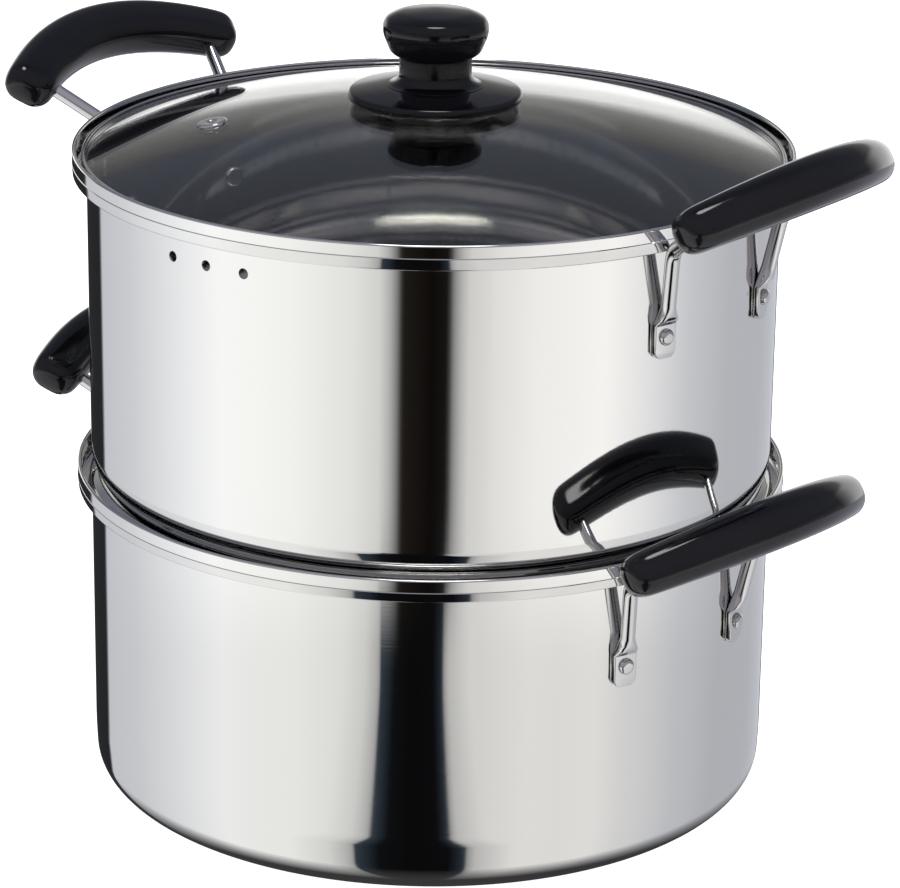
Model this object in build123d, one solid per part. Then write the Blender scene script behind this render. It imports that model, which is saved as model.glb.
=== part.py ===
from build123d import *
import os
from math import asin, cos, degrees, radians, sin, sqrt

# Two-tier stove-top steamer: a stock pot below, a steamer pot with a pierced bottom that
# stands in its rim, and a domed glass lid.  Millimetres, +Z up.  The origin is on the
# surface that the pot stands on, under the middle; +X runs through the lower pair of handles.

# ---- driving dimensions ------------------------------------------------------------------
WALL = 0.8                 # stainless sheet
BODY_R = 131.4             # outside of both pots (nominal 26 cm inside)
LOWER_TOP = 127.1          # rim of the lower pot
UPPER_TOP = 251.2          # rim of the upper pot
LOWER_CORNER = 12.5        # outside radius where the lower pot's wall meets its base
UPPER_TURN = 5.9           # the upper pot stands turned by this angle about +Z

# rolled rim, given from its top edge down
RIM_R = 137.0              # outside of the hem
HEM_DROP = 4.0             # height of the hem
HEM_IN = 135.3             # inside of the hem
GROOVE_R = 136.3           # outside of the groove under the hem
GROOVE_DROP = 4.8
BAND_R = 136.7             # outside of the band under the groove
SHOULDER_TOP = 7.0         # where the shoulder line meets the band
SHOULDER_FOOT = 11.2       # where the shoulder line meets the body
SHOULDER_FOOT_ROUND = 6.0

# foot of the upper pot, which stands inside the lower pot's mouth
FOOT_Z = 112.2             # underside of the pierced bottom
NECK_R = 128.8
NECK_CORNER = 5.0
BEAD_R = 133.3             # seating bead that rests on the lower pot's shoulder
BEAD_Z = 119.45
BEAD_HALF = 2.2
TUCK_LOW = 122.6           # the wall leaves the neck here
TUCK_HIGH = 132.0          # and meets the straight body here

STEAM_HOLE_R = 2.0         # three vents high in the upper wall
STEAM_HOLE_Z = 233.2
STEAM_HOLE_PITCH = 7.24    # degrees
SIEVE_HOLE_R = 3.0         # rings of holes in the upper pot's bottom
SIEVE_RING_PITCH = 17.5
SIEVE_RINGS = 6

# handles: a bent wire with flattened ends, riveted twice, through a moulded grip
RIVET_ANGLE = 13.65        # degrees each side of the handle's axis
LOWER_RIVET_Z = 85.2
UPPER_RIVET_Z = 209.0
WIRE_R = 2.75
TAB_WIDTH = 9.8
TAB_THICK = 2.3
TAB_BELOW = 8.0            # tab's reach below and above the rivet
TAB_ABOVE = 6.5
BLEND_TOP = 12.0           # the flattened end is round wire again at this height
LEG_BEND = (134.6, 35.5, 33.8)   # outward, sideways and height over the rivet
LEG_BEND_ROUND = 10.0
RIVET_SHANK_R = 2.0
RIVET_HEAD_R = 3.1
RIVET_HEAD_H = 1.9
RIVET_BACK_R = 4.0
RIVET_BACK_H = 1.3

GRIP_OUT = 157.8           # grip's end points, outward from the pot's axis
GRIP_UP = 50.5             # over the rivets
GRIP_TILT = 31.7           # the bow of the grip rises outward by this angle
GRIP_HALF = 53.8           # half the distance between the end points
GRIP_BOW = 15.8
GRIP_WIDE = (11.5, 10.2)   # half width in the plane of the bow, middle and ends
GRIP_DEEP = (9.6, 8.2)     # half thickness across it, middle and ends
GRIP_CAP = 9.2             # length of each rounded end
GRIP_WIRE_END = 0.93       # the wire turns into the grip at this share of its half length

# lid
GLASS_THICK = 4.0
GLASS_CROWN = 268.2
GLASS_R = 132.2
HOOP_R = 133.3
HOOP_TOP = 249.0
HOOP_BOTTOM = 242.3
HOOP_SHEET = 0.9           # the strip, folded double
HOOP_LIP_R = 131.8         # inner edge of the hoop's top lip
HOOP_ROLL_R = 130.7        # inner edge of its rolled lower lip
HOOP_ROLL_TOP = 243.5
VENT_PLACE_R = 84.0
VENT_ANGLE = -130.5
VENT_HOLE_R = 4.0
VENT_BORE_R = 1.6
VENT_FLANGE_R = 5.8
VENT_FLANGE_H = 0.9

# knob stack on the lid's axis
BASE_R = 33.0
BASE_Z = (269.6, 274.4)    # underside, and top at the knob's foot
BASE_LIP = 2.6             # width of the plate's lowered edge
BASE_EDGE_Z = 268.2
BASE_EDGE_TOP = 272.0
KNOB_TOP = 306.6
KNOB_FOOT_R = 18.5
KNOB_STEM_R = 13.7
KNOB_CAP_R = 20.0
GASKET_R = 22.0
SCREW_R = 2.45
SCREW_HEAD_R = 5.2
SCREW_HEAD_H = 3.2
SCREW_TOP = 291.0
INSERT_R = 4.5
INSERT_Z = (275.4, 292.0)
WASHER_R = 14.0
WASHER_H = 1.2
LOWER_GASKET_R = 12.5
LOWER_GASKET_H = 1.5

PARTS = "parts"


def save(shape, name):
    """Write one sub-part."""
    export_step(shape, f"{PARTS}/{name}.step")


def turned(profile):
    """Turn a flat profile, drawn as (radius, height), about +Z."""
    return revolve(Plane.XZ * profile, axis=Axis.Z)


def outline(points, radii):
    """A closed flat profile with its corners rounded; a radius of 0 stays sharp."""
    return make_face(FilletPolyline(*points, radius=radii, close=True))


def disc(radius, low, high):
    """A plain cylinder about +Z between two heights."""
    return Pos(0, 0, (low + high) / 2) * Cylinder(radius, high - low)


# ---- the two pots ------------------------------------------------------------------------
def rim_path(top):
    """Corner points of the wall's outer line from the body up to the hem."""
    return [
        (BODY_R, top - SHOULDER_FOOT),
        (BAND_R, top - SHOULDER_TOP),
        (BAND_R, top - GROOVE_DROP - 0.4),
        (GROOVE_R, top - GROOVE_DROP),
        (GROOVE_R, top - 0.8),
    ]


def hem(top):
    """Profile of the rolled edge on top of the wall, with a rounded crest."""
    points = [(HEM_IN, top), (RIM_R, top), (RIM_R, top - HEM_DROP), (HEM_IN, top - HEM_DROP)]
    return outline(points, [0.8, 0.8, 0.3, 0.3])


def pressed_pot(points, radii, top):
    """A pressed sheet shell: its outer line, thickened inward by the wall, with its hem."""
    line = FilletPolyline(*points, radius=radii)
    return turned(make_face(offset(line, amount=WALL, side=Side.LEFT)) + hem(top))


def lower_pot():
    points = [(0, 0), (BODY_R, 0)] + rim_path(LOWER_TOP)
    radii = [LOWER_CORNER, SHOULDER_FOOT_ROUND, 1.6, 0.3, 0.3]
    return pressed_pot(points, radii, LOWER_TOP)


def upper_pot():
    foot = [
        (0, FOOT_Z),
        (NECK_R, FOOT_Z),
        (NECK_R, BEAD_Z - BEAD_HALF),
        (BEAD_R + 0.55, BEAD_Z),
        (NECK_R, BEAD_Z + BEAD_HALF),
        (NECK_R, TUCK_LOW),
        (BODY_R, TUCK_HIGH),
    ]
    radii = [NECK_CORNER, 0.5, 1.3, 0.4, 0.4, 22.0, SHOULDER_FOOT_ROUND, 1.6, 0.3, 0.3]
    pot = pressed_pot(foot + rim_path(UPPER_TOP), radii, UPPER_TOP)
    for ring in range(SIEVE_RINGS):
        count = max(1, 6 * ring)
        for k in range(count):
            place = Rot(0, 0, 360 * k / count) * Pos(ring * SIEVE_RING_PITCH, 0, FOOT_Z)
            pot -= place * Cylinder(SIEVE_HOLE_R, 6 * WALL)
    for k in (-1, 0, 1):
        turn = UPPER_TURN - 90 + k * STEAM_HOLE_PITCH
        hole = Pos(BODY_R, 0, STEAM_HOLE_Z) * Rot(0, 90, 0) * Cylinder(STEAM_HOLE_R, 8)
        pot -= Rot(0, 0, turn) * hole
    return pot


# ---- one handle, built on +X and turned into place -----------------------------------------
def at_rivet(side, height, radius=BODY_R):
    """Place of a rivet: local Z points out of the wall, local Y points up."""
    angle = radians(side * RIVET_ANGLE)
    out = Vector(cos(angle), sin(angle), 0)
    along = Vector(-out.Y, out.X, 0)
    return Plane(origin=out * radius + Vector(0, 0, height), x_dir=along, z_dir=out).location


def rivet_hole(side, rivet_z):
    return at_rivet(side, rivet_z) * Cylinder(RIVET_SHANK_R, 20)


def rivets(rivet_z):
    """Two rivets: a domed head outside the tab, a shank, a flatter head inside the pot."""
    out = []
    ball = (RIVET_HEAD_R**2 + RIVET_HEAD_H**2) / (2 * RIVET_HEAD_H)
    length = TAB_THICK + WALL + RIVET_BACK_H
    for side in (-1, 1):
        shank = at_rivet(side, rivet_z, BODY_R + TAB_THICK - length / 2)
        rivet = shank * Cylinder(RIVET_SHANK_R, length)
        head = Pos(0, 0, RIVET_HEAD_H - ball) * Sphere(ball) & Pos(0, 0, 5) * Cylinder(10, 10)
        rivet += at_rivet(side, rivet_z, BODY_R + TAB_THICK) * head
        back = Cylinder(RIVET_BACK_R, RIVET_BACK_H + 0.2)
        back = chamfer(back.edges().sort_by(Axis.Z)[0], 0.7)
        back = at_rivet(side, rivet_z, BODY_R - WALL - RIVET_BACK_H / 2 + 0.1) * back
        rivet += back & disc(BODY_R - WALL, rivet_z - 10, rivet_z + 10)
        out.append(rivet)
    return out


def grip_frame(rivet_z):
    """Middle of the line between the grip's end points, with the bow along local Y."""
    tilt = radians(GRIP_TILT)
    return Plane(
        origin=(GRIP_OUT, 0, rivet_z + GRIP_UP),
        x_dir=(0, 1, 0),
        z_dir=(sin(tilt), 0, -cos(tilt)),
    )


def wire(rivet_z):
    """The bent wire with its two flattened, drilled ends."""
    frame = grip_frame(rivet_z)
    end_x = GRIP_WIRE_END * GRIP_HALF
    end_y = GRIP_BOW * (1 - GRIP_WIRE_END**2)
    inside = [frame.from_local_coords((x, y, 0)) for x, y in ((end_x, end_y), (0, 22.0), (-end_x, end_y))]
    blend_angle = radians(RIVET_ANGLE + 0.2)
    blend_r = BODY_R + WIRE_R + 0.9
    start = Vector(blend_r * cos(blend_angle), blend_r * sin(blend_angle), rivet_z + BLEND_TOP)
    bend = Vector(LEG_BEND[0], LEG_BEND[1], rivet_z + LEG_BEND[2])
    flip = [Vector(p.X, -p.Y, p.Z) for p in (bend, start)]
    route = [start, bend] + inside + flip
    path = FilletPolyline(*route, radius=[LEG_BEND_ROUND, 7.0, 70.0, 7.0, LEG_BEND_ROUND])
    leg = (bend - start).normalized()
    rod = sweep(Plane(origin=start, z_dir=leg) * Circle(WIRE_R), path=path)
    for side in (-1, 1):
        tab = at_rivet(side, rivet_z) * Pos(0, (TAB_ABOVE - TAB_BELOW) / 2, TAB_THICK / 2)
        plate = Box(TAB_WIDTH, TAB_ABOVE + TAB_BELOW, TAB_THICK)
        plate = fillet(plate.edges().filter_by(Axis.Z).sort_by(Axis.Y)[:2], 3.0)
        rod += tab * plate
        angle = radians(side * RIVET_ANGLE)
        across = Vector(-sin(angle), cos(angle), 0)
        tab_r = BODY_R + TAB_THICK / 2
        tab_top = Vector(tab_r * cos(angle), tab_r * sin(angle), rivet_z + TAB_ABOVE)
        foot = Vector(start.X, side * start.Y, start.Z)
        leg_here = Vector(leg.X, side * leg.Y, leg.Z)
        flat_end = Plane(origin=tab_top, x_dir=across, z_dir=(0, 0, 1))
        round_end = Plane(origin=foot, x_dir=across, z_dir=leg_here)
        rod += loft([
            flat_end * RectangleRounded(TAB_WIDTH, TAB_THICK, 0.9),
            round_end * Circle(WIRE_R),
        ])
        rod -= rivet_hole(side, rivet_z)
    return rod - disc(BODY_R, rivet_z - 30, rivet_z + 25)


def grip(rivet_z, wire_solid):
    """The moulded grip: oval sections along a bow, rounded ends, bored by the wire."""
    frame = grip_frame(rivet_z)
    sections = []
    cap_steps = (0.985, 0.9, 0.72, 0.45, 0.2)
    stations = [(-1, c) for c in cap_steps] + [(t / 4, 0) for t in range(-4, 5)]
    stations += [(1, c) for c in reversed(cap_steps)]
    for t, cap in stations:
        slope = Vector(GRIP_HALF, -2 * t * GRIP_BOW).normalized()
        middle = Vector(t * GRIP_HALF, (1 - t * t) * GRIP_BOW)
        if cap:
            middle += slope * (GRIP_CAP * cap * (1 if t > 0 else -1))
        shrink = sqrt(1 - cap**2)
        wide = (GRIP_WIDE[0] + (GRIP_WIDE[1] - GRIP_WIDE[0]) * t * t) * shrink
        deep = (GRIP_DEEP[0] + (GRIP_DEEP[1] - GRIP_DEEP[0]) * t * t) * shrink
        place = Plane(
            origin=frame.from_local_coords(middle),
            x_dir=frame.from_local_coords(Vector(-slope.Y, slope.X)) - frame.origin,
            z_dir=frame.from_local_coords(slope) - frame.origin,
        )
        sections.append(place * Ellipse(wide, deep))
    return loft(sections) - wire_solid


# ---- the lid -------------------------------------------------------------------------------
SPHERE_EDGE_Z = HOOP_TOP - HOOP_SHEET
RISE = GLASS_CROWN - SPHERE_EDGE_Z
GLASS_SPHERE = (HOOP_LIP_R**2 + RISE**2) / (2 * RISE)


def glass_z(radius, ball=GLASS_SPHERE):
    """Height of the glass at a radius, on its top face or on the ball given."""
    return GLASS_CROWN - GLASS_SPHERE + sqrt(ball**2 - radius**2)


def vent_frame(lift=0.0):
    """Frame on the glass's top face at the vent, local Z along its normal."""
    lean = degrees(asin(VENT_PLACE_R / GLASS_SPHERE))
    place = Rot(0, 0, VENT_ANGLE) * Pos(VENT_PLACE_R, 0, glass_z(VENT_PLACE_R))
    return place * Rot(0, lean, 0) * Pos(0, 0, lift)


def glass():
    under = GLASS_SPHERE - GLASS_THICK
    mid = GLASS_R / 2
    top = ThreePointArc((0, GLASS_CROWN), (mid, glass_z(mid)), (GLASS_R, glass_z(GLASS_R)))
    low_edge = (GLASS_R, glass_z(GLASS_R, under))
    low_mid = (mid, glass_z(mid, under))
    bottom = ThreePointArc(low_edge, low_mid, (0, GLASS_CROWN - GLASS_THICK))
    edge = Line((GLASS_R, glass_z(GLASS_R)), low_edge)
    axis = Line((0, GLASS_CROWN - GLASS_THICK), (0, GLASS_CROWN))
    dome = turned(make_face([top, edge, bottom, axis]))
    dome -= disc(SCREW_R + 1.5, GLASS_CROWN - 10, GLASS_CROWN + 5)
    return dome - vent_frame() * Cylinder(VENT_HOLE_R, 20)


def hoop():
    points = [
        (HOOP_R, HOOP_TOP),
        (HOOP_LIP_R, HOOP_TOP),
        (HOOP_LIP_R, HOOP_TOP - HOOP_SHEET),
        (GLASS_R, HOOP_TOP - HOOP_SHEET),
        (GLASS_R, HOOP_ROLL_TOP),
        (HOOP_ROLL_R, HOOP_ROLL_TOP),
        (HOOP_ROLL_R, HOOP_BOTTOM),
        (HOOP_R, HOOP_BOTTOM),
    ]
    return turned(outline(points, [0.7, 0.3, 0, 0, 0, 0.5, 0.5, 1.0]))


def vent(glass_solid):
    """A two-flanged eyelet in the glass."""
    eyelet = vent_frame(-GLASS_THICK / 2) * Cylinder(VENT_HOLE_R, GLASS_THICK + 0.6)
    for lift in (VENT_FLANGE_H / 2 - 0.05, -GLASS_THICK - VENT_FLANGE_H / 2 + 0.05):
        rim = Cylinder(VENT_FLANGE_R, VENT_FLANGE_H)
        rim = fillet(rim.edges().sort_by(Axis.Z)[-1 if lift > 0 else 0], 0.6)
        eyelet += vent_frame(lift) * rim
    return eyelet - vent_frame() * Cylinder(VENT_BORE_R, 20) - glass_solid


def knob():
    """The turned hand knob, hollow below for its threaded insert."""
    foot_z = BASE_Z[1]
    flare = KNOB_FOOT_R - KNOB_STEM_R
    waist = foot_z + 0.5 + flare
    under_cap = KNOB_TOP - 20.4
    widest = (KNOB_CAP_R, KNOB_TOP - 8.8)
    lines = [
        Line((INSERT_R, foot_z), (KNOB_FOOT_R, foot_z)),
        Line((KNOB_FOOT_R, foot_z), (KNOB_FOOT_R, foot_z + 0.5)),
        RadiusArc((KNOB_FOOT_R, foot_z + 0.5), (KNOB_STEM_R, waist), flare),
        Line((KNOB_STEM_R, waist), (KNOB_STEM_R, under_cap)),
        Line((KNOB_STEM_R, under_cap), (KNOB_STEM_R + 0.6, under_cap)),
        Spline(
            (KNOB_STEM_R + 0.6, under_cap),
            (17.6, KNOB_TOP - 16.0),
            widest,
            (17.4, KNOB_TOP - 3.7),
            (9.5, KNOB_TOP - 0.7),
            (0, KNOB_TOP),
            tangents=[(1, 0.25), (-1, 0)],
        ),
        Line((0, KNOB_TOP), (0, INSERT_Z[1])),
        Line((0, INSERT_Z[1]), (INSERT_R, INSERT_Z[1])),
        Line((INSERT_R, INSERT_Z[1]), (INSERT_R, foot_z)),
    ]
    return turned(make_face(lines))


def knob_base():
    """The round plate under the knob: its edge hangs lower than its underside."""
    low, high = BASE_Z
    points = [
        (SCREW_R + 0.3, low),
        (BASE_R - BASE_LIP, low),
        (BASE_R - BASE_LIP, BASE_EDGE_Z),
        (BASE_R, BASE_EDGE_Z),
        (BASE_R, BASE_EDGE_TOP),
        (KNOB_FOOT_R, high),
        (SCREW_R + 0.3, high),
    ]
    return turned(outline(points, [0, 0.8, 0.5, 1.0, 1.6, 0, 0]))


def insert():
    low, high = INSERT_Z
    return disc(INSERT_R, low, high) - disc(SCREW_R, low - 1, SCREW_TOP)


def screw():
    """A pan-head screw, driven up from inside the lid."""
    seat = GLASS_CROWN - GLASS_THICK - LOWER_GASKET_H - WASHER_H
    head = disc(SCREW_HEAD_R, seat - SCREW_HEAD_H, seat)
    head = fillet(head.edges().sort_by(Axis.Z)[0], 1.8)
    shape = head + disc(SCREW_R, seat - 0.5, SCREW_TOP)
    slots = Box(5.4, 1.1, 3.2) + Box(1.1, 5.4, 3.2)
    return shape - Pos(0, 0, seat - SCREW_HEAD_H) * slots


def washer():
    high = GLASS_CROWN - GLASS_THICK - LOWER_GASKET_H
    ring = disc(WASHER_R, high - WASHER_H, high) - disc(SCREW_R, high - 5, high + 5)
    return chamfer(ring.edges().sort_by(Axis.Z).group_by(Axis.Z)[0].sort_by(SortBy.LENGTH)[-1], 0.4)


def lower_gasket(glass_solid):
    high = GLASS_CROWN - GLASS_THICK
    ring = disc(LOWER_GASKET_R, high - LOWER_GASKET_H, high + 0.5)
    return ring - disc(SCREW_R, high - 9, high + 9) - glass_solid - disc(9, high, high + 9)


def upper_gasket(glass_solid):
    ring = disc(GASKET_R, GLASS_CROWN - 2, BASE_Z[0]) - disc(SCREW_R, 250, 290)
    return ring - glass_solid - disc(SCREW_R + 1.6, 250, GLASS_CROWN)


# ---- build and write -------------------------------------------------------------------------
def main():
    os.makedirs(PARTS, exist_ok=True)
    pots = {"lower": lower_pot(), "upper": upper_pot()}
    heights = {"lower": LOWER_RIVET_Z, "upper": UPPER_RIVET_Z}
    turns = {"lower": 0.0, "upper": UPPER_TURN}
    for tier, rivet_z in heights.items():
        wire_solid = wire(rivet_z)
        grip_solid = grip(rivet_z, wire_solid)
        for hand, half_turn in (("right", 0.0), ("left", 180.0)):
            place = Rot(0, 0, turns[tier] + half_turn)
            save(place * wire_solid, f"{tier}_{hand}_handle_wire")
            save(place * grip_solid, f"{tier}_{hand}_grip")
            save(Compound([place * r for r in rivets(rivet_z)]), f"{tier}_{hand}_rivets")
            for side in (-1, 1):
                pots[tier] -= place * rivet_hole(side, rivet_z)
        save(pots[tier], f"{tier}_pot_body")
    dome = glass()
    save(dome, "lid_glass")
    save(hoop(), "lid_hoop")
    save(vent(dome), "vent_eyelet")
    save(knob(), "knob")
    save(knob_base(), "knob_base")
    save(insert(), "knob_insert")
    save(screw(), "knob_screw")
    save(washer(), "knob_washer")
    save(upper_gasket(dome), "knob_upper_gasket")
    save(lower_gasket(dome), "knob_lower_gasket")


main()
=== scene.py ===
from math import asin, atan2, ceil, cos, degrees, pi, radians, sin, sqrt, tan

import bpy
from mathutils import Matrix, Vector


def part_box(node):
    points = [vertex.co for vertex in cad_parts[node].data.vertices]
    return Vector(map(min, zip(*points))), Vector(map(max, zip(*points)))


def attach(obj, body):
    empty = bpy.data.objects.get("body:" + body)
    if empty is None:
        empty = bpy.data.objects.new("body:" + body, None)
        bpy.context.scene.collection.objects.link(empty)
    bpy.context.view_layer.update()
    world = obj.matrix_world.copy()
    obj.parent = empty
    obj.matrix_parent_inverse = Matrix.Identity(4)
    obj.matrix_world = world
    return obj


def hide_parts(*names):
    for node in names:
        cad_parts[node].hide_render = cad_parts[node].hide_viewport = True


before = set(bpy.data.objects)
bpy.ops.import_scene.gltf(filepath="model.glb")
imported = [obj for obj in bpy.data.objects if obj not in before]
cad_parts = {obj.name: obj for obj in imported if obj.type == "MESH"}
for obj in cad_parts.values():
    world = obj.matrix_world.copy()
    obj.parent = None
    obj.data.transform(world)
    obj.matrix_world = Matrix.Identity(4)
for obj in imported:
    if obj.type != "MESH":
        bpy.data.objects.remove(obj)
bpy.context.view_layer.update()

# Looks of a two-tier steamer pot with a glass lid.  Sizes are millimetres and MM turns them
# into metres; heights that the frame holds are read from it.
MM = 0.001

# ---- sizes -------------------------------------------------------------------------------
WALL = 0.8
RIM_REACH = 5.6            # how far the rim stands out from the wall
BODY_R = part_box("lower_pot_body")[1].x / MM - RIM_REACH
LOWER_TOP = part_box("lower_pot_body")[1].z / MM
UPPER_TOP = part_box("upper_pot_body")[1].z / MM
LOWER_CORNER = 12.5
FOOT_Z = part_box("upper_pot_body")[0].z / MM
NECK_R = BODY_R - 2.6
BEAD_R = BODY_R + 1.9
BEAD_Z = FOOT_Z + 8.6
HOOP_R = BODY_R + 1.9
UPPER_TURN = 5.9           # the upper pot stands turned by this angle
RIVET_ANGLE = 13.65        # degrees each side of a handle's axis
RIVET_Z = {"lower": 85.2, "upper": 209.0}
WIRE_R = 2.75
TAB = (9.8, 2.3)           # width and thickness of the wire's flattened end
GLASS_THICK = 4.0
GLASS_CROWN = 268.2
GLASS_R = BODY_R + 0.8
ROUND_STEPS = 256          # faces round a pot
STEAM_HOLE = (2.0, 233.2, 7.24)    # radius, height, and degrees from one to the next
VENT_R, VENT_ANGLE = 84.0, -130.5  # where the lid's vent is
KNOB_BORE, VENT_BORE = 3.95, 4.0   # radii of the holes in the glass
FLAT_LOW, FLAT_TOP = 8.0, 4.4      # the wire's flattened end, below and above its rivet
SIEVE_HOLE_R = 3.0
SIEVE_RING_PITCH = 17.5
SIEVE_RINGS = 6


# ---- modelling helpers ---------------------------------------------------------------------
def alone(piece=None):
    """Leave edit mode, deselect everything, and select one piece."""
    if bpy.context.object and bpy.context.object.mode != "OBJECT":
        bpy.ops.object.mode_set(mode="OBJECT")
    bpy.ops.object.select_all(action="DESELECT")
    if piece:
        piece.select_set(True)
        bpy.context.view_layer.objects.active = piece


def settle(piece, name):
    """Name a new piece and put its place into its mesh."""
    piece.name = piece.data.name = name
    alone(piece)
    bpy.ops.object.transform_apply(location=True, rotation=True, scale=True)
    return piece


def pick(piece, test, kind="vertices"):
    """Select the vertices or faces that pass a test on their place, and enter edit mode."""
    alone(piece)
    mesh = piece.data
    for group in (mesh.vertices, mesh.edges, mesh.polygons):
        group.foreach_set("select", [False] * len(group))
    for item in getattr(mesh, kind):
        item.select = test(item)
    mode = "FACE" if kind == "polygons" else "VERT"
    bpy.ops.object.mode_set(mode="EDIT")
    bpy.ops.mesh.select_mode(type=mode)


def chain(name, points):
    """One vertex, extruded along points given as (radius, height) in the XZ plane."""
    alone()
    start = Vector((points[0][0], 0, points[0][1])) * MM
    bpy.ops.mesh.primitive_plane_add(size=MM, location=start)
    piece = settle(bpy.context.object, name)
    bpy.ops.object.mode_set(mode="EDIT")
    bpy.ops.mesh.select_all(action="SELECT")
    bpy.ops.mesh.merge(type="CENTER")
    for here, there in zip(points, points[1:]):
        step = Vector((there[0] - here[0], 0, there[1] - here[1])) * MM
        bpy.ops.mesh.extrude_vertices_move(TRANSFORM_OT_translate={"value": step})
    return piece


def round_corner(piece, before, corner, after, radius):
    """Bevel one corner of a chain to an arc."""
    a = Vector(before) - Vector(corner)
    b = Vector(after) - Vector(corner)
    turn = pi - a.angle(b)
    place = Vector((corner[0], 0, corner[1])) * MM
    pick(piece, lambda v: (v.co - place).length < 0.00002)
    bpy.ops.mesh.bevel(
        offset=radius * tan(turn / 2) * MM,
        offset_type="OFFSET",
        segments=max(3, ceil(degrees(turn) / 7)),
        affect="VERTICES",
        clamp_overlap=True,
    )


def turned(name, points, radii=None, steps=ROUND_STEPS, closed=False):
    """A profile of (radius, height) corners, rounded where radii says, spun about Z."""
    points = list(points)
    piece = chain(name, points + points[:1] if closed else points)
    if closed:
        bpy.ops.mesh.select_all(action="SELECT")
        bpy.ops.mesh.remove_doubles(threshold=1e-6)
    count = len(points)
    for i, radius in enumerate(radii or []):
        if radius and (closed or 0 < i < count - 1):
            round_corner(piece, points[i - 1], points[i], points[(i + 1) % count], radius)
    pick(piece, lambda v: True)
    bpy.ops.mesh.spin(steps=steps, angle=2 * pi, center=(0, 0, 0), axis=(0, 0, 1))
    return tidy(piece)


def tidy(piece, sharp=35):
    """Merge doubles, turn all faces outwards, and shade smooth up to an angle."""
    pick(piece, lambda v: True)
    bpy.ops.mesh.remove_doubles(threshold=2e-6)
    bpy.ops.mesh.normals_make_consistent(inside=False)
    bpy.ops.object.mode_set(mode="OBJECT")
    bpy.ops.object.shade_smooth_by_angle(angle=radians(sharp))
    return piece


def modifier(piece, kind, **settings):
    """Add a modifier, set it, and apply it."""
    alone(piece)
    bpy.ops.object.modifier_add(type=kind)
    new = piece.modifiers[-1]
    for key, value in settings.items():
        setattr(new, key, value)
    bpy.ops.object.modifier_apply(modifier=new.name)
    return piece


def weighted(piece):
    """Normals led by the large faces, so that flat and straight walls reflect truly."""
    return modifier(piece, "WEIGHTED_NORMAL", weight=60, keep_sharp=True)


def copy_of(piece, name):
    """A copy with its own mesh."""
    alone(piece)
    bpy.ops.object.duplicate()
    other = bpy.context.object
    other.name = other.data.name = name
    return other


def joined(name, pieces):
    """Several meshes made one."""
    alone(pieces[0])
    for piece in pieces[1:]:
        piece.select_set(True)
    bpy.ops.object.join()
    pieces[0].name = pieces[0].data.name = name
    return pieces[0]


def moved(piece, matrix):
    """Carry a finished mesh to its place; the object stays at the origin."""
    piece.matrix_world = matrix @ piece.matrix_world
    return settle(piece, piece.name)


def around_z(angle):
    return Matrix.Rotation(radians(angle), 4, "Z")


def cut(piece, cutters):
    """Take cutters away from a piece."""
    tool = joined("cutter", cutters)
    modifier(piece, "BOOLEAN", object=tool, operation="DIFFERENCE", solver="EXACT")
    bpy.data.objects.remove(tool)
    return piece


def drill(radius, depth, place, steps=32):
    """A plain cutter: a cylinder along local Z of a place given as a matrix in millimetres."""
    alone()
    bpy.ops.mesh.primitive_cylinder_add(vertices=steps, radius=radius * MM, depth=depth * MM)
    cutter = bpy.context.object
    spot = place.copy()
    spot.translation = spot.translation * MM
    cutter.matrix_world = spot
    return settle(cutter, "drill")


# ---- materials -------------------------------------------------------------------------------
def colour(code):
    """An sRGB hex value as a linear colour."""
    parts = [int(code[i:i + 2], 16) / 255 for i in (1, 3, 5)]
    return [c / 12.92 if c <= 0.04045 else ((c + 0.055) / 1.055) ** 2.4 for c in parts] + [1.0]


def node(tree, kind, links=None, **settings):
    """Add a node; settings name its properties or sockets, links name its incoming sockets."""
    new = tree.nodes.new(kind)
    for key, value in settings.items():
        if key.startswith("in_"):
            socket = key[3:]
            new.inputs[int(socket) if socket.isdigit() else socket.replace("_", " ")].default_value = value
        else:
            setattr(new, key, value)
    for key, source in (links or {}).items():
        tree.links.new(source, new.inputs[key])
    return new


def blank(name):
    """A new node material with only its output and a principled shader."""
    material = bpy.data.materials.new(name)
    material.use_nodes = True
    tree = material.node_tree
    return material, tree, tree.nodes["Principled BSDF"]


def polished_steel(name, tint="#e2e2e0", rough=0.04, line_mm=0.45, depth=0.006, round_axis=True):
    """Stainless 18-8 sheet, buffed to a mirror: sharp reflections, with the fine lines that the
    buffing wheel leaves running round the pot, which only show in the dark reflections."""
    material, tree, shader = blank(name)
    shader.inputs["Metallic"].default_value = 1.0
    shader.inputs["Base Color"].default_value = colour(tint)
    place = node(tree, "ShaderNodeTexCoord").outputs["Object"]
    squash = (6.0, 6.0, 1 / (line_mm * MM)) if round_axis else (90.0, 90.0, 90.0)
    lines = node(tree, "ShaderNodeMapping", {"Vector": place}, in_Scale=squash)
    noise = node(tree, "ShaderNodeTexNoise", {"Vector": lines.outputs[0]}, in_Scale=1.0, in_Detail=3.0)
    haze = node(tree, "ShaderNodeTexNoise", {"Vector": place}, in_Scale=16.0, in_Detail=2.0)
    mixed = node(tree, "ShaderNodeMath", {0: noise.outputs[0], 1: haze.outputs[0]}, operation="MULTIPLY")
    spread = node(
        tree, "ShaderNodeMapRange", {"Value": mixed.outputs[0]},
        in_From_Min=0.1, in_From_Max=0.45, in_To_Min=rough * 0.7, in_To_Max=rough * 1.5,
    )
    tree.links.new(spread.outputs[0], shader.inputs["Roughness"])
    bump = node(
        tree, "ShaderNodeBump", {"Height": noise.outputs[0]},
        in_Strength=depth, in_Distance=0.0002,
    )
    tree.links.new(bump.outputs[0], shader.inputs["Normal"])
    return material


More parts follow.
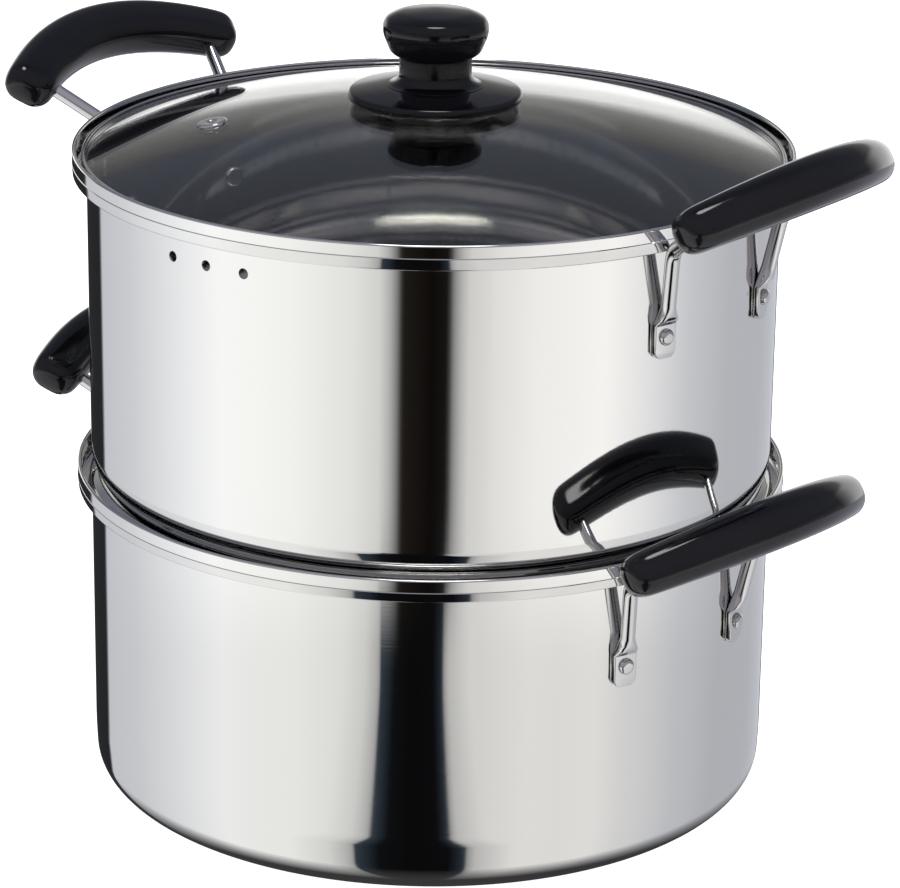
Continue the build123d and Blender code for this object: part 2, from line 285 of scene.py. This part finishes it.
def bright_wire_steel():
    """Drawn stainless wire, barrel polished: clear reflections with faint drawing marks."""
    return polished_steel("drawn_stainless_wire", "#d8d8d8", 0.10, depth=0.03, round_axis=False)


def rivet_steel():
    """Cold-headed stainless: a satin skin from the heading die."""
    return polished_steel("cold_headed_stainless", "#d6d6d4", 0.22, depth=0.05, round_axis=False)


def phenolic():
    """Black phenolic, compression moulded in a polished die: deep gloss with a faint swirl."""
    material, tree, shader = blank("moulded_black_phenolic")
    place = node(tree, "ShaderNodeTexCoord").outputs["Object"]
    swirl = node(tree, "ShaderNodeTexNoise", {"Vector": place}, in_Scale=60.0, in_Detail=4.0)
    ramp = node(tree, "ShaderNodeValToRGB", {"Fac": swirl.outputs[0]})
    ramp.color_ramp.elements[0].color = colour("#0b0b0d")
    ramp.color_ramp.elements[1].color = colour("#15151a")
    tree.links.new(ramp.outputs[0], shader.inputs["Base Color"])
    gloss = node(
        tree, "ShaderNodeMapRange", {"Value": swirl.outputs[0]},
        in_From_Min=0.3, in_From_Max=0.7, in_To_Min=0.07, in_To_Max=0.13,
    )
    tree.links.new(gloss.outputs[0], shader.inputs["Roughness"])
    grain = node(tree, "ShaderNodeTexNoise", {"Vector": place}, in_Scale=420.0, in_Detail=2.0)
    bump = node(
        tree, "ShaderNodeBump", {"Height": grain.outputs[0]}, in_Strength=0.04, in_Distance=0.0003,
    )
    tree.links.new(bump.outputs[0], shader.inputs["Normal"])
    shader.inputs["IOR"].default_value = 1.5
    shader.inputs["Specular IOR Level"].default_value = 0.38
    return material


def lid_glass_material():
    """Tempered soda-lime glass: clear, faintly green, with a very slight waviness."""
    material, tree, shader = blank("tempered_soda_lime_glass")
    shader.inputs["Base Color"].default_value = colour("#f3f2ee")
    shader.inputs["Transmission Weight"].default_value = 1.0
    shader.inputs["Roughness"].default_value = 0.0
    shader.inputs["IOR"].default_value = 1.5
    place = node(tree, "ShaderNodeTexCoord").outputs["Object"]
    wave = node(tree, "ShaderNodeTexNoise", {"Vector": place}, in_Scale=14.0, in_Detail=1.0)
    bump = node(
        tree, "ShaderNodeBump", {"Height": wave.outputs[0]}, in_Strength=0.03, in_Distance=0.001,
    )
    tree.links.new(bump.outputs[0], shader.inputs["Normal"])
    return material


def brass():
    """Turned brass: warm, with lathe lines."""
    material = polished_steel("turned_brass", "#c9a45c", 0.2, line_mm=0.3, depth=0.06)
    return material


def silicone():
    """Translucent white silicone: matt and slightly waxy."""
    material, tree, shader = blank("moulded_silicone")
    place = node(tree, "ShaderNodeTexCoord").outputs["Object"]
    mottle = node(tree, "ShaderNodeTexNoise", {"Vector": place}, in_Scale=200.0, in_Detail=3.0)
    ramp = node(tree, "ShaderNodeValToRGB", {"Fac": mottle.outputs[0]})
    ramp.color_ramp.elements[0].color = colour("#c9c9c4")
    ramp.color_ramp.elements[1].color = colour("#dadad6")
    tree.links.new(ramp.outputs[0], shader.inputs["Base Color"])
    shader.inputs["Roughness"].default_value = 0.55
    shader.inputs["Subsurface Weight"].default_value = 0.15
    return material


# ---- pots --------------------------------------------------------------------------------------
def rim_outside(top, foot):
    """Corners and roundings of the rim's outside, from the body up to the crest; foot is how far
    the rim's band hangs below its crest."""
    return [
        ((BODY_R, top - foot + 0.2), 0.4),
        ((BODY_R + 5.2, top - foot), 0.6),
        ((BODY_R + 5.45, top - 5.0), 0.3),
        ((BODY_R + 5.35, top - 4.7), 0.3),
        ((BODY_R + 5.35, top), 0.7),
        ((BODY_R + 3.9, top), 0.6),
        ((BODY_R + 3.9, top - 4.0), 0.1),
    ]


def rim_inside(top, foot):
    """And back down inside: the lip, the shelf that carries the next tier, the wall."""
    return [
        ((BODY_R + 4.1, top - 4.2), 0.1),
        ((BODY_R + 4.5, top - 5.6), 0.3),
        ((BODY_R + 4.2, top - foot + 0.9), 0.5),
        ((BODY_R - WALL, top - foot + 0.1), 2.2),
    ]


def pot_shell(name, foot_out, top, foot_in, band):
    """A pot of one sheet: out along the foot, up and over the rim, and back down inside."""
    corners = foot_out + rim_outside(top, band) + rim_inside(top, band) + foot_in
    return turned(name, [c for c, _ in corners], [r for _, r in corners])


def lower_pot():
    """The stock pot: a flat base, a wide corner, a straight wall and the rolled rim."""
    ease, ease_top, slow = 1.0, 18, 200.0    # the wall leans in a little before the corner proper
    corner = LOWER_CORNER - ease
    foot_out = [((0, 0), 0), ((BODY_R - ease, 0), corner), ((BODY_R, ease_top), slow)]
    foot_in = [
        ((BODY_R - WALL, ease_top), slow),
        ((BODY_R - ease - WALL, WALL), corner - WALL),
        ((0, WALL), 0),
    ]
    return pot_shell("stock_pot_shell", foot_out, LOWER_TOP, foot_in, 8.6)


def upper_pot():
    """The steamer: pierced bottom, neck, seating bead, tuck, straight wall, rolled rim."""
    low, tuck = BEAD_Z + 2.6, BEAD_Z + 11.2
    foot_out = [
        ((0, FOOT_Z), 0),
        ((NECK_R, FOOT_Z), 5.0),
        ((NECK_R, BEAD_Z - 2.2), 0.5),
        ((BEAD_R + 0.55, BEAD_Z), 1.3),
        ((NECK_R, BEAD_Z + 2.2), 0.4),
        ((NECK_R, low), 0.4),
        ((BODY_R, tuck), 22.0),
    ]
    foot_in = [
        ((BODY_R - WALL, tuck + 0.1), 22.0),
        ((NECK_R - WALL, low + 0.2), 0.8),
        ((NECK_R - WALL, BEAD_Z + 1.6), 0.8),
        ((BEAD_R - 1.3, BEAD_Z), 0.5),
        ((NECK_R - WALL, BEAD_Z - 1.6), 0.8),
        ((NECK_R - WALL, FOOT_Z + WALL), 4.2),
        ((0, FOOT_Z + WALL), 0),
    ]
    pot = pot_shell("steamer_pot_shell", foot_out, UPPER_TOP, foot_in, 9.3)
    tools = []
    for ring in range(SIEVE_RINGS):
        count = max(1, 6 * ring)
        for k in range(count):
            spot = around_z(360 * k / count) @ Matrix.Translation((ring * SIEVE_RING_PITCH, 0, FOOT_Z))
            tools.append(drill(SIEVE_HOLE_R, 6 * WALL, spot, 20))
    radius, height, apart = STEAM_HOLE
    for k in (-1, 0, 1):
        spot = around_z(UPPER_TURN - 90 + apart * k) @ Matrix.Translation((BODY_R, 0, height))
        tools.append(drill(radius, 8, spot @ Matrix.Rotation(pi / 2, 4, "Y"), 28))
    return cut(pot, tools)


# ---- handles -------------------------------------------------------------------------------------
GRIP_OUT, GRIP_UP, GRIP_TILT = 157.8, 50.5, 31.7
GRIP_HALF, GRIP_BOW, GRIP_CAP = 53.8, 15.8, 9.2
GRIP_WIDE, GRIP_DEEP = (11.05, 10.2), (9.6, 8.2)


def grip_frame(rivet_z):
    """Matrix of the grip's plane: local X runs along it, local Y outward along the bow."""
    tilt = radians(GRIP_TILT)
    along, bow = Vector((0, 1, 0)), Vector((cos(tilt), 0, sin(tilt)))
    frame_matrix = Matrix((along, bow, along.cross(bow))).transposed().to_4x4()
    frame_matrix.translation = Vector((GRIP_OUT, 0, rivet_z + GRIP_UP))
    return frame_matrix


def add_loop(centre, direction, across, wide, deep, corner):
    """In edit mode: add one closed section, a rounded oblong of half sizes wide along across and
    deep along the other way, whose corners have this radius.  It has 24 points."""
    up = direction.cross(across).normalized()
    turn = Matrix((across.normalized(), up, direction.normalized())).transposed()
    bpy.ops.mesh.select_all(action="DESELECT")
    bpy.ops.mesh.primitive_plane_add(size=2 * MM, location=centre * MM, rotation=turn.to_euler())
    bpy.ops.transform.resize(
        value=(wide, deep, 1), orient_type="LOCAL", orient_matrix=turn, orient_matrix_type="LOCAL",
        center_override=centre * MM,
    )
    bpy.ops.mesh.bevel(
        offset=corner * MM, offset_type="OFFSET", segments=5, affect="VERTICES", clamp_overlap=True,
    )
    bpy.ops.mesh.delete(type="ONLY_FACE")


def skin(name, loops, ends=True):
    """Bridge a row of sections, given as add_loop takes them, and close the ends if asked."""
    alone()
    bpy.ops.mesh.primitive_circle_add(vertices=3, radius=MM, location=loops[0][0] * MM)
    piece = settle(bpy.context.object, name)
    bpy.ops.object.mode_set(mode="EDIT")
    bpy.ops.mesh.select_all(action="SELECT")
    bpy.ops.mesh.delete(type="VERT")
    for loop in loops:
        add_loop(*loop)
    bpy.ops.mesh.select_mode(type="EDGE")
    bpy.ops.mesh.select_all(action="SELECT")
    bpy.ops.mesh.bridge_edge_loops()
    if ends:
        bpy.ops.mesh.select_all(action="SELECT")
        bpy.ops.mesh.region_to_loop()
        bpy.ops.mesh.edge_face_add()
    return piece


def grip(rivet_z):
    """The moulded grip: rounded oblong sections along the bow, with domed ends."""
    place = grip_frame(rivet_z)
    turn = place.to_3x3()
    loops = []
    caps = (0.985, 0.9, 0.72, 0.42)
    stations = [(-1, c) for c in caps] + [(t / 5, 0) for t in range(-5, 6)]
    stations += [(1, c) for c in reversed(caps)]
    for t, cap in stations:
        slope = Vector((GRIP_HALF, -2 * t * GRIP_BOW, 0)).normalized()
        middle = Vector((t * GRIP_HALF, (1 - t * t) * GRIP_BOW, 0))
        middle += slope * GRIP_CAP * cap * (1 if t > 0 else -1)
        shrink = (1 - cap**2.6) ** (1 / 2.6)
        wide = (GRIP_WIDE[0] + (GRIP_WIDE[1] - GRIP_WIDE[0]) * t * t) * shrink
        deep = (GRIP_DEEP[0] + (GRIP_DEEP[1] - GRIP_DEEP[0]) * t * t) * shrink
        across = turn @ Vector((-slope.y, slope.x, 0))
        loops.append((place @ middle, turn @ slope, across, wide, deep, 0.86 * deep))
    piece = skin("grip", loops)
    modifier(piece, "SUBSURF", levels=2, render_levels=2)
    return tidy(piece, 60)


def wire_route(rivet_z):
    """Corners and roundings of the bent wire's middle line, from one flattened end to the other."""
    place = grip_frame(rivet_z)
    end_y = GRIP_BOW * (1 - 0.93**2)
    inside = [place @ Vector((x, y, 0)) for x, y in ((50.0, end_y), (0, 22.0), (-50.0, end_y))]
    angle = radians(RIVET_ANGLE + 0.2)
    start = Vector(((BODY_R + 3.65) * cos(angle), (BODY_R + 3.65) * sin(angle), rivet_z + 12.0))
    bend = Vector((134.6, 35.5, rivet_z + 33.8))
    flip = [Vector((p.x, -p.y, p.z)) for p in (bend, start)]
    return [start, bend] + inside + flip, [0, 10.0, 7.0, 70.0, 7.0, 10.0, 0]


def path_points(corners, radii, step=7.0):
    """Points and directions along straight runs joined by arcs."""
    out = []
    for i, corner in enumerate(corners):
        if radii[i] == 0:
            way = (corners[1] - corners[0]) if i == 0 else (corners[-1] - corners[-2])
            out.append((corner, way.normalized()))
            continue
        into = (corner - corners[i - 1]).normalized()
        leave = (corners[i + 1] - corner).normalized()
        turn = into.angle(leave)
        reach = radii[i] * tan(turn / 2)
        centre = corner - into * reach + (leave - into * into.dot(leave)).normalized() * radii[i]
        axis = into.cross(leave).normalized()
        count = max(4, ceil(degrees(turn) / step))
        for k in range(count + 1):
            swing = Matrix.Rotation(turn * k / count, 3, axis)
            out.append((centre + swing @ (corner - into * reach - centre), swing @ into))
    return out


def handle_wire(rivet_z):
    """Round wire bent to its route, with both ends pressed flat, drilled and rounded off.  One
    half is made, from the flat end to the middle of the grip, and mirrored."""
    corners, radii = wire_route(rivet_z)
    angle = radians(RIVET_ANGLE)
    out = Vector((cos(angle), sin(angle), 0))
    across = Vector((-sin(angle), cos(angle), 0))
    up = Vector((0, 0, 1))
    wide, thick, corner = TAB[0] / 2, TAB[1] / 2, 3.0
    flat = out * (BODY_R + thick + 0.05) + up * rivet_z
    loops = []
    for low in (0.02, 0.3, 1.0, 2.0, 3.0):          # the rounded foot of the flat end
        half = wide - corner + sqrt(corner**2 - (corner - low)**2)
        loops.append((flat + up * (low - FLAT_LOW), up, across, half, thick, 0.5))
    loops.append((flat + up * FLAT_TOP, up, across, wide, thick, 0.5))
    for rise, half, depth, edge in ((5.6, 4.7, 1.75, 1.2), (6.8, 4.3, 2.45, 2.0)):
        loops.append((flat + up * rise + out * (depth - thick), up, across, half, depth, edge))
    track = [(p, w) for p, w in path_points(corners, radii) if p.y > 0.01]
    for share in (0.45, 1.0):                        # from the pressed part into the round wire
        spot = (flat + up * 6.8 + out * 1.3).lerp(track[0][0], share)
        half = 4.3 + (WIRE_R - 4.3) * share
        loops.append((spot, up.lerp(track[0][1], share), across, half, WIRE_R, WIRE_R * 0.999))
    for point, way in track[1:]:
        across = (across - way * across.dot(way)).normalized()
        loops.append((point, way, across, WIRE_R, WIRE_R, WIRE_R * 0.999))
    point, way = track[-1]
    middle = Vector((point.x, 0, point.z))
    loops.append((middle, Vector((0, -1, 0)), across, WIRE_R, WIRE_R, WIRE_R * 0.999))
    half_wire = skin("handle_wire", loops, ends=False)
    pick(half_wire, lambda v: v.co.z < (rivet_z - FLAT_LOW + 0.03) * MM)
    bpy.ops.mesh.edge_face_add()
    tidy(half_wire, 40)
    spot = around_z(RIVET_ANGLE) @ Matrix.Rotation(pi / 2, 4, "Y")
    spot.translation = out * BODY_R + up * rivet_z
    cut(half_wire, [drill(2.05, 20, spot, 24)])
    other = copy_of(half_wire, "other_half")
    moved(other, Matrix.Scale(-1, 4, Vector((0, 1, 0))))
    return tidy(joined("handle_wire", [half_wire, other]), 40)


def rivet_pair(rivet_z):
    """Two rivets, each with a domed head outside and a flatter head inside the pot."""
    dome_r, dome_h, shank_r, back_r, back_h = 3.1, 1.9, 2.0, 4.0, 1.3
    profile = [
        (0, -WALL - back_h),
        (back_r, -WALL - back_h),
        (back_r, -WALL),
        (shank_r, -WALL),
        (shank_r, TAB[1]),
        (dome_r, TAB[1]),
        (dome_r, TAB[1] + dome_h),
        (0, TAB[1] + dome_h),
    ]
    rivet = turned("rivet", profile, [0, 0.8, 0.1, 0, 0, 0.1, 1.6, 0], 40)
    pair = [rivet, copy_of(rivet, "rivet_copy")]
    for piece, side in zip(pair, (-1, 1)):
        place = around_z(side * RIVET_ANGLE) @ Matrix.Translation((BODY_R * MM, 0, rivet_z * MM))
        moved(piece, place @ Matrix.Rotation(pi / 2, 4, "Y"))
    return joined("rivets", pair)


# ---- lid -------------------------------------------------------------------------------------------
HOOP_TOP = UPPER_TOP - 2.2
EDGE_RISE = GLASS_CROWN - (HOOP_TOP - 0.9)
GLASS_SPHERE = ((BODY_R + 0.4)**2 + EDGE_RISE**2) / (2 * EDGE_RISE)


def dome_point(radius, ball=GLASS_SPHERE):
    """A point of a dome's profile; both faces of the glass share one centre."""
    return radius, GLASS_CROWN - GLASS_SPHERE + sqrt(ball**2 - radius**2)


def glass_dome():
    """The domed pane, drilled for the knob's screw and the vent."""
    steps = 26
    under = GLASS_SPHERE - GLASS_THICK
    radii = [GLASS_R * k / steps for k in range(steps + 1)]
    profile = [dome_point(r) for r in radii] + [dome_point(r, under) for r in reversed(radii)]
    rounding = [0] * steps + [1.0, 1.0] + [0] * steps
    pane = turned("glass_pane", profile, rounding, 192)
    middle = Matrix.Translation((0, 0, GLASS_CROWN - GLASS_THICK / 2))
    return cut(pane, [drill(VENT_BORE, 20, vent_place(), 40), drill(KNOB_BORE, 20, middle, 40)])


def vent_place():
    """The vent's place on the glass, with local Z square to the surface."""
    lean = Matrix.Rotation(asin(VENT_R / GLASS_SPHERE), 4, "Y")
    r, z = dome_point(VENT_R)
    return around_z(VENT_ANGLE) @ Matrix.Translation((r, 0, z)) @ lean


def hoop():
    """The rolled strip round the glass."""
    profile = [
        (HOOP_R, HOOP_TOP),
        (BODY_R + 0.4, HOOP_TOP),
        (BODY_R + 0.4, HOOP_TOP - 0.9),
        (GLASS_R, HOOP_TOP - 0.9),
        (GLASS_R, HOOP_TOP - 5.5),
        (BODY_R - 0.7, HOOP_TOP - 5.5),
        (BODY_R - 0.7, HOOP_TOP - 6.7),
        (HOOP_R, HOOP_TOP - 6.7),
    ]
    return turned("rolled_hoop", profile, [0.7, 0.3, 0.1, 0, 0, 0.5, 0.5, 1.0], closed=True)


def vent_eyelet():
    """The eyelet: a rolled flange on each face of the glass round a small bore."""
    top, low, barrel, flange, bore = 0.9, -GLASS_THICK - 0.9, 3.95, 5.8, 1.6
    profile = [
        (bore, top), (flange, top), (flange, 0), (barrel, 0), (barrel, -GLASS_THICK),
        (flange, -GLASS_THICK), (flange, low), (bore, low),
    ]
    piece = turned("eyelet", profile, [0.8, 0.8, 0.1, 0, 0, 0.1, 0.7, 0.7], 48, closed=True)
    place = vent_place()
    place.translation = place.translation * MM
    return moved(piece, place)


def knob():
    """The hand knob: foot, flare, stem and a rounded, gently domed cap."""
    low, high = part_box("knob")[0].z / MM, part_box("knob")[1].z / MM
    profile = [
        (4.5, low), (18.5, low), (18.5, low + 0.2), (13.7, low + 0.2), (13.7, high - 21.2),
        (17.0, high - 20.0), (19.95, high - 12.6), (19.95, high - 7.6), (15.5, high - 4.6), (0, high - 3.2),
    ]
    return turned("hand_knob", profile, [0, 0, 0.05, 4.7, 0.6, 4.0, 9.0, 4.0, 12.0, 0], 128)


def knob_plate():
    """The round plate under the knob, with its edge lowered towards the glass."""
    low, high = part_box("knob_base")[0].z / MM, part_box("knob_base")[1].z / MM
    profile = [
        (2.75, low + 1.4), (29.6, low + 1.4), (30.2, low), (33.0, low), (33.0, low + 3.8), (18.5, high),
        (2.75, high),
    ]
    return turned("knob_plate", profile, [0, 0.5, 0.3, 2.2, 1.5, 0, 0], 160, closed=True)


# ---- put together --------------------------------------------------------------------------------
def finish_piece(piece, name, material, body, node_name):
    """Give a made piece its name and material, hide the part it stands in for, and let it ride on its body.
    """
    piece.name = piece.data.name = name
    piece.data.materials.clear()
    piece.data.materials.append(material)
    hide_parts(node_name)
    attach(piece, body)


def dress(node_name, material):
    """A carried-over piece gets its finish."""
    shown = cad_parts[node_name]
    shown.data.materials.clear()
    shown.data.materials.append(material)


STEEL = polished_steel("mirror_buffed_stainless")
HOOP_STEEL = polished_steel("rolled_stainless_strip", "#d6d6d6", 0.12, 0.3, 0.04)
WIRE_STEEL = bright_wire_steel()
RIVET_STEEL = rivet_steel()
BLACK = phenolic()
GLASS = lid_glass_material()
BRASS = brass()
SILICONE = silicone()


def build_object():
    """Make every piece, give it its finish, and let it ride on its body."""
    for name, pot in (("lower_pot", lower_pot()), ("upper_pot", upper_pot())):
        finish_piece(weighted(pot), name, STEEL, name, f"{name}_body")
    for tier, turn in (("lower", 0.0), ("upper", UPPER_TURN)):
        made = (
            (handle_wire(RIVET_Z[tier]), "handle_wire", WIRE_STEEL, "bright_wire"),
            (grip(RIVET_Z[tier]), "grip", BLACK, "black_phenolic"),
            (rivet_pair(RIVET_Z[tier]), "rivets", RIVET_STEEL, "bright_rivet"),
        )
        for first, kind, material, slot in made:
            for hand, half_turn, piece in (("left", 180, copy_of(first, "copy")), ("right", 0, first)):
                moved(piece, around_z(turn + half_turn))
                node_name = f"{tier}_{hand}_{kind}"
                finish_piece(piece, f"{node_name}_made", material, f"{tier}_pot", node_name)
    finish_piece(weighted(glass_dome()), "glass_pane", GLASS, "lid", "lid_glass")
    finish_piece(hoop(), "rolled_hoop", HOOP_STEEL, "lid", "lid_hoop")
    finish_piece(vent_eyelet(), "eyelet", HOOP_STEEL, "lid", "vent_eyelet")
    finish_piece(knob(), "hand_knob", BLACK, "lid", "knob")
    finish_piece(knob_plate(), "knob_plate", BLACK, "lid", "knob_base")
    for node_name, material in (
        ("knob_insert", BRASS), ("knob_screw", RIVET_STEEL), ("knob_washer", HOOP_STEEL),
        ("knob_upper_gasket", SILICONE), ("knob_lower_gasket", SILICONE),
    ):
        dress(node_name, material)


# ---- studio ----------------------------------------------------------------------------------------
CAMERA_AT = Vector((0.98231, -1.02793, 0.63168))
CAMERA_AIM = Vector((0.00535, 0.00511, 0.13072))
CAMERA_ROLL = 0.794
CAMERA_LENS = 155.2


def camera():
    """A long lens from a little above, on the side of the steam holes and the right handles."""
    bpy.ops.object.camera_add(location=CAMERA_AT)
    eye = bpy.context.object
    look = (CAMERA_AIM - CAMERA_AT).to_track_quat("-Z", "Y").to_matrix().to_4x4()
    eye.matrix_world = Matrix.Translation(CAMERA_AT) @ look @ Matrix.Rotation(radians(CAMERA_ROLL), 4, "Z")
    eye.data.lens = CAMERA_LENS
    eye.data.sensor_width = 36.0
    eye.data.clip_end = 50.0
    bpy.context.scene.camera = eye


def floor():
    """A plain pale floor."""
    alone()
    bpy.ops.mesh.primitive_circle_add(vertices=96, radius=6.0, fill_type="NGON", location=(0, 0, -0.0004))
    ground = settle(bpy.context.object, "floor")
    material, tree, shader = blank("pale_floor")
    shader.inputs["Base Color"].default_value = colour("#f4f4f4")
    shader.inputs["Roughness"].default_value = 0.8
    shader.inputs["Emission Color"].default_value = (1, 1, 1, 1)
    shader.inputs["Emission Strength"].default_value = 1.1
    ground.data.materials.append(material)
    ground.visible_glossy = False


def contact_shade():
    """A painted contact shadow: a dark grey disc round the base, hidden from the camera and lit rays, which
    only the base's corner mirrors in place of the floor's shade.
    """
    alone()
    reach, offset = 0.137, 0.010          # a disc pushed a little towards the camera
    front = Vector((CAMERA_AT.x, CAMERA_AT.y, 0)).normalized() * offset
    bpy.ops.mesh.primitive_circle_add(
        vertices=96, radius=reach, fill_type="NGON", location=(front.x, front.y, -0.0002),
    )
    disc = settle(bpy.context.object, "contact_shade")
    material = bpy.data.materials.new("contact_shade")
    material.use_nodes = True
    tree = material.node_tree
    tree.nodes.clear()
    place = node(tree, "ShaderNodeTexCoord").outputs["Object"]
    centred = node(tree, "ShaderNodeVectorMath", {0: place}, operation="SUBTRACT", in_1=front)
    far = node(tree, "ShaderNodeVectorMath", {0: centred.outputs[0]}, operation="LENGTH").outputs["Value"]
    share = node(
        tree, "ShaderNodeMapRange", {"Value": far}, in_From_Min=0.121, in_From_Max=reach,
        in_To_Min=1.0, in_To_Max=0.0,
    )
    # painted shadow: a flat dim grey glow that stands in for the shaded floor next to the base
    dim = node(tree, "ShaderNodeEmission", in_Color=colour("#3e3d3f"))
    clear = node(tree, "ShaderNodeBsdfTransparent")
    mixed = node(tree, "ShaderNodeMixShader", {0: share.outputs[0], 1: clear.outputs[0], 2: dim.outputs[0]})
    node(tree, "ShaderNodeOutputMaterial", {"Surface": mixed.outputs[0]})
    disc.data.materials.append(material)
    for ray in ("camera", "diffuse", "transmission", "volume_scatter", "shadow"):
        setattr(disc, f"visible_{ray}", False)


def ramp(tree, source, stops, low=-180, high=180):
    """A colour ramp over angles, with a grey level or a colour at each one."""
    ends = {"in_From_Min": radians(low), "in_From_Max": radians(high)}
    share = node(tree, "ShaderNodeMapRange", {"Value": source}, **ends)
    new = node(tree, "ShaderNodeValToRGB", {"Fac": share.outputs[0]})
    bands = new.color_ramp.elements
    bands.remove(bands[1])
    for k, (angle, level) in enumerate(stops):
        place = (angle - low) / (high - low)
        stop = bands[0] if k == 0 else bands.new(place)
        stop.position = place
        stop.color = colour(level) if isinstance(level, str) else (level, level, level, 1)
    return new.outputs[0]


def blended(tree, a, b, way_in, share=None):
    """Two colours put together in one of the Mix node's ways, in full or by a share."""
    links = {6: a, 7: b} if share is None else {0: share, 6: a, 7: b}
    full = {"in_0": 1.0} if share is None else {}
    return node(tree, "ShaderNodeMix", links, data_type="RGBA", blend_type=way_in, **full).outputs[2]


def times(tree, a, b):
    """One colour multiplied by another."""
    return blended(tree, a, b, "MULTIPLY")


def studio():
    """Soft light from all round, laid out by compass angle and height: white boards round the
    pots with a dark slot between them on the camera's side, a bright sweep behind, a dim
    room above, and one soft lamp overhead."""
    world = bpy.data.worlds.new("studio")
    bpy.context.scene.world = world
    world.use_nodes = True
    tree = world.node_tree
    tree.nodes.clear()
    way = node(tree, "ShaderNodeTexCoord").outputs["Generated"]
    front = atan2(CAMERA_AT.y, CAMERA_AT.x)
    turned_way = node(
        tree, "ShaderNodeVectorRotate", {"Vector": way}, rotation_type="Z_AXIS", in_Angle=-front,
    )
    axes = node(tree, "ShaderNodeSeparateXYZ", {"Vector": turned_way.outputs[0]}).outputs
    around = node(tree, "ShaderNodeMath", {0: axes[1], 1: axes[0]}, operation="ARCTAN2").outputs[0]
    height = node(tree, "ShaderNodeMath", {0: axes[2]}, operation="ARCSINE").outputs[0]

    # the white boards round the pots: brightness by compass angle, 0 towards the camera
    boards = ramp(tree, around, [
        (-180, 1.42), (-172, 1.42), (-170, 0.03), (-144, 0.025), (-142, 0.73), (-118, 0.83), (-100, 0.99),
        (-73, 1.24), (-46, 1.15), (-28, 1.0), (-18, 0.93), (18, 0.93), (34, 1.11), (58, 1.2), (75, 1.03),
        (93, 0.80), (115, 0.66), (142, 0.64), (160, 0.72), (166, 0.78), (168, 0.07), (172, 0.07),
        (174, 1.42),
    ])
    tint = ramp(tree, around, [
        (-150, "#f0f3fc"), (-95, "#fafbff"), (-60, "#fffffe"), (60, "#fffdfc"), (100, "#f1f3fb"),
        (160, "#eceef8"),
    ])
    # lower down the boards are dimmer, most of all to the right of the slot
    low_share = ramp(tree, around, [
        (-140, 0.98), (-95, 0.9), (-60, 0.87), (-20, 0.93), (20, 0.94), (45, 0.84), (70, 0.82), (100, 0.97),
        (140, 1.0),
    ])
    low_down = ramp(tree, height, [(-22.4, 1.0), (-21, 0.0)], -90, 90)
    dimmed = node(tree, "ShaderNodeMix", {0: low_down, 7: low_share}, data_type="RGBA", in_6=(1, 1, 1, 1))
    # the slot between the boards on the camera's side; its lower part widens downwards, has
    # crisp edges and is blue-grey beside them
    slot = ramp(tree, around, [
        (-26, 1.0), (-17, 0.9), (-13.6, 0.6), (-11.2, 0.26), (-10.0, 0.05), (-9.0, "#231f1c"),
        (0, "#120f0e"),
        (4.6, "#1b1918"), (5.7, 0.07), (7.0, 0.33), (9.3, 0.62), (12, 0.86), (20, 1.0),
    ], -45, 45)
    from_middle = node(tree, "ShaderNodeMath", {0: around}, operation="ADD", in_1=radians(5.5))
    spread = node(
        tree, "ShaderNodeMapRange", {"Value": height}, in_From_Min=radians(-23),
        in_From_Max=radians(-27.5), in_To_Min=1.04, in_To_Max=0.56,
    )
    narrowed = node(
        tree, "ShaderNodeMath", {0: from_middle.outputs[0], 1: spread.outputs[0]}, operation="MULTIPLY",
    ).outputs[0]
    slot_foot = ramp(tree, narrowed, [
        (-24, 1.0), (-16, 0.86), (-12.2, 0.62), (-11.1, 0.48), (-10.6, "#39424d"), (-7.5, "#222a33"),
        (-6, "#121416"), (0, "#0e0e0f"), (7.5, "#101013"), (9.4, "#242c35"), (10.5, "#333c47"),
        (11.0, 0.42), (12.6, 0.7), (20, 0.95),
    ], -45, 45)
    slot = blended(tree, slot, slot_foot, "MIX", low_down)
    lit = times(tree, times(tree, times(tree, boards, tint), dimmed.outputs[2]), slot)
    # the boards fade out softly upwards, and the white sweep behind ends in a hard edge
    soft = ramp(tree, height, [
        (-90, 1.0), (-14.6, 1.0), (-13, 0.5), (-6, 0.36), (2, 0.24), (25, 0.0),
    ], -90, 90)
    hard = ramp(tree, height, [(-90, 1.0), (-13, 1.0), (-11.5, 0.0)], -90, 90)
    behind = ramp(tree, around, [(-180, 1), (-143, 1), (-125, 0), (125, 0), (143, 1), (180, 1)])
    fade = blended(tree, soft, hard, "MIX", behind)
    lit = times(tree, lit, fade)
    sweep = times(tree, behind, ramp(tree, height, [
        (-14, 0), (-12.5, 1.2), (7, 1.2), (11, 0.42), (15.5, 0.31), (20, 0.22), (28, 0.0)], -90, 90))
    room = ramp(tree, height, [(-4, "#000000"), (4, "#6d707a"), (35, "#767b88"), (90, "#70747f")], -90, 90)
    room = times(tree, room, ramp(tree, around, [(-130, 1.0), (-70, 2.2), (70, 2.2), (130, 1.0)]))
    room = times(tree, room, ramp(tree, around, [
        (-130, "#ffffff"), (-80, "#fff3ec"), (80, "#fff3ec"), (130, "#ffffff"),
    ]))
    lamp = ramp(tree, height, [(79.5, 0.0), (81.5, 9.0), (90, 9.0)], 0, 90)
    for more, way_in in ((sweep, "LIGHTEN"), (room, "LIGHTEN"), (lamp, "ADD")):
        lit = blended(tree, lit, more, way_in)
    seen = node(tree, "ShaderNodeLightPath")
    shown = node(tree, "ShaderNodeMix", {0: seen.outputs["Is Camera Ray"], 6: lit},
                 data_type="RGBA", in_7=(1, 1, 1, 1)).outputs[2]
    glow = node(tree, "ShaderNodeBackground", {"Color": shown}, in_Strength=1.0)
    node(tree, "ShaderNodeOutputWorld", {"Surface": glow.outputs[0]})
    bpy.context.scene.view_settings.view_transform = "Standard"


camera()
build_object()
floor()
contact_shade()
studio()
alone()
